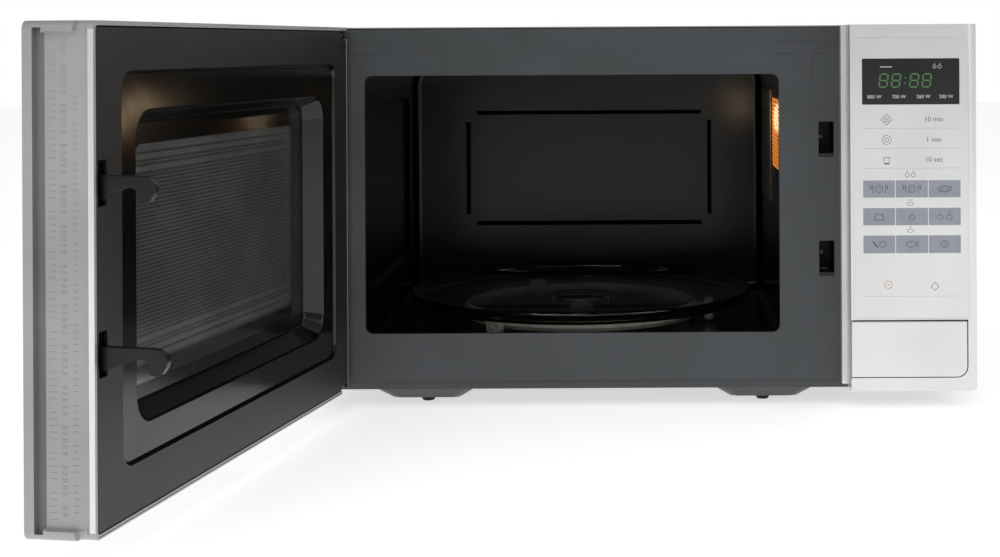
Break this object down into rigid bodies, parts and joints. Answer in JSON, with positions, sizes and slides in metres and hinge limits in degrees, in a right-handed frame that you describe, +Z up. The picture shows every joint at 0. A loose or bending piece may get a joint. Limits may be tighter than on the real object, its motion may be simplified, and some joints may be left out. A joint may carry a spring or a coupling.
{
  "type": "microwave oven",
  "caption": "Countertop microwave oven with a left-hinged latching door, glass turntable on a roller ring, and a keypad panel with a release button.",
  "frame": {"origin": "middle of the object's box at rest, door open, on the worktop", "axes": "+X right and -Y towards the user, seen from the front; +Z up; the open door reaches towards -Y"},
  "size_m": [0.5118, 0.684, 0.2595],
  "materials": {
    "grey_enamel": "dark grey powder enamel, satin",
    "black_enamel": "glossy black cavity enamel",
    "cover_steel": "silver grey painted sheet, fine grain",
    "rubber": "matte dark rubber",
    "black_plastic": "fine-grained black plastic",
    "zinc": "bright zinc-plated steel",
    "silver_plastic": "silver metallic paint on plastic, satin",
    "smoked_window": "dark tinted clear sheet",
    "screen_steel": "black painted perforated steel",
    "clear_film": "clear glossy film",
    "tray_glass": "clear pressed glass",
    "white_plastic": "off-white heat-resistant plastic",
    "mica": "pressed mica sheet",
    "aluminium": "plain aluminium",
    "core_steel": "varnished steel laminations",
    "copper": "enamelled copper winding",
    "lamp_glass": "clear glass",
    "circuit_board": "green solder mask",
    "grey_plastic": "grey moulded plastic",
    "keypad_film": "printed polycarbonate film, satin",
    "display_black": "black display module"
  },
  "bodies": {
    "cabinet": {"front_plate": "grey_enamel", "cavity_liner": "black_enamel", "outer_cover": "cover_steel", "base_plate": "grey_enamel", "rear_panel": "cover_steel", "foot_front_left": "rubber", "foot_front_right": "rubber", "foot_rear_left": "rubber", "foot_rear_right": "rubber", "cord_bush": "black_plastic", "upper_hinge_bracket": "zinc", "lower_hinge_bracket": "zinc", "turntable_motor": "zinc", "waveguide_cover": "mica", "waveguide_duct": "zinc", "magnetron_yoke": "zinc", "magnetron_anode": "aluminium", "transformer_core": "core_steel", "transformer_primary_coil": "copper", "transformer_secondary_coil": "copper", "high_voltage_capacitor": "aluminium", "high_voltage_diode": "black_plastic", "fan_shroud": "black_plastic", "fan_motor": "zinc", "oven_lamp": "lamp_glass", "lamp_holder": "white_plastic", "filter_board": "circuit_board", "filter_choke": "copper", "mains_fuse": "lamp_glass", "latch_board": "white_plastic", "upper_door_switch": "black_plastic", "monitor_door_switch": "black_plastic", "lower_door_switch": "black_plastic", "panel_frame": "silver_plastic", "keypad_overlay": "keypad_film", "display_window": "smoked_window", "display_module": "display_black", "control_board": "circuit_board", "board_transformer": "copper", "button_spring": "zinc"},
    "door": {"door_frame": "silver_plastic", "door_outer_window": "smoked_window", "door_choke_cover": "black_plastic", "door_steel_panel": "screen_steel", "door_inner_film": "clear_film", "door_hook_spring": "zinc"},
    "hook_bar": {"door_hook_bar": "black_plastic"},
    "release_button": {"door_release_button": "silver_plastic"},
    "release_lever": {"release_lever": "grey_plastic"},
    "turntable_drive": {"drive_coupler": "white_plastic", "motor_shaft": "zinc"},
    "tray": {"turntable_tray": "tray_glass"},
    "roller_ring": {"roller_ring": "white_plastic"},
    "wheel_left": {"roller_wheel_left": "white_plastic"},
    "wheel_right": {"roller_wheel_right": "white_plastic"},
    "wheel_rear": {"roller_wheel_rear": "white_plastic"},
    "fan": {"fan_blade": "white_plastic"},
    "upper_plunger": {"upper_switch_plunger": "white_plastic"},
    "monitor_plunger": {"monitor_switch_plunger": "white_plastic"},
    "lower_plunger": {"lower_switch_plunger": "white_plastic"}
  },
  "joints": [
    {"name": "door_hinge", "type": "hinge", "parent": "cabinet", "child": "door", "pos_m": [-0.17557, 0.00004, 0.1366], "axis": [0, 0, -1], "range_deg": [-99.5, 0]},
    {"name": "hook_lift", "type": "slide", "parent": "door", "child": "hook_bar", "axis": [0, 0, 1], "range_m": [0, 0.005], "stiffness_N_per_m": 300, "springref_m": -0.004, "deforming": ["door_hook_spring"]},
    {"name": "release_press", "type": "hinge", "parent": "cabinet", "child": "release_button", "pos_m": [0.21, -0.01646, 0.0605], "axis": [1, 0, 0], "range_deg": [0, 5], "stiffness_Nm_per_rad": 0.35, "springref_deg": -3.44},
    {"name": "release_lever_turn", "type": "hinge", "parent": "cabinet", "child": "release_lever", "pos_m": [0.175, 0.02804, 0.062], "axis": [1, 0, 0], "range_deg": [0, 6]},
    {"name": "turntable_spin", "type": "hinge", "parent": "cabinet", "child": "turntable_drive", "pos_m": [-0.01337, 0.15904, 0.044], "axis": [0, 0, 1], "continuous": true},
    {"name": "tray_lift", "type": "slide", "parent": "turntable_drive", "child": "tray", "axis": [0, 0, 1], "range_m": [0, 0.08]},
    {"name": "ring_roll", "type": "hinge", "parent": "cabinet", "child": "roller_ring", "pos_m": [-0.01337, 0.15904, 0.04415], "axis": [0, 0, 1], "continuous": true},
    {"name": "wheel_left_roll", "type": "hinge", "parent": "roller_ring", "child": "wheel_left", "pos_m": [-0.07265, 0.08037, 0.04415], "axis": [-0.6018, -0.7986, 0], "continuous": true},
    {"name": "wheel_right_roll", "type": "hinge", "parent": "roller_ring", "child": "wheel_right", "pos_m": [0.0844, 0.14703, 0.04415], "axis": [0.9925, -0.1219, 0], "continuous": true},
    {"name": "wheel_rear_roll", "type": "hinge", "parent": "roller_ring", "child": "wheel_rear", "pos_m": [-0.05185, 0.24971, 0.04415], "axis": [-0.3907, 0.9205, 0], "continuous": true},
    {"name": "fan_spin", "type": "hinge", "parent": "cabinet", "child": "fan", "pos_m": [0.19583, 0.31624, 0.167], "axis": [0, 1, 0], "continuous": true},
    {"name": "upper_plunger_press", "type": "slide", "parent": "cabinet", "child": "upper_plunger", "axis": [0, 1, 0], "range_m": [0, 0.0015], "stiffness_N_per_m": 200},
    {"name": "monitor_plunger_press", "type": "slide", "parent": "cabinet", "child": "monitor_plunger", "axis": [0, 1, 0], "range_m": [0, 0.0015], "stiffness_N_per_m": 200},
    {"name": "lower_plunger_press", "type": "slide", "parent": "cabinet", "child": "lower_plunger", "axis": [0, 1, 0], "range_m": [0, 0.0015], "stiffness_N_per_m": 200}
  ],
  "couplings": [
    {"joint": "release_lever_turn", "follows": "release_press", "ratio": 1.1},
    {"joint": "ring_roll", "follows": "turntable_spin", "ratio": 0.5},
    {"joint": "wheel_left_roll", "follows": "turntable_spin", "ratio": -7.1898},
    {"joint": "wheel_right_roll", "follows": "turntable_spin", "ratio": -7.1898},
    {"joint": "wheel_rear_roll", "follows": "turntable_spin", "ratio": -7.1898}
  ]
}
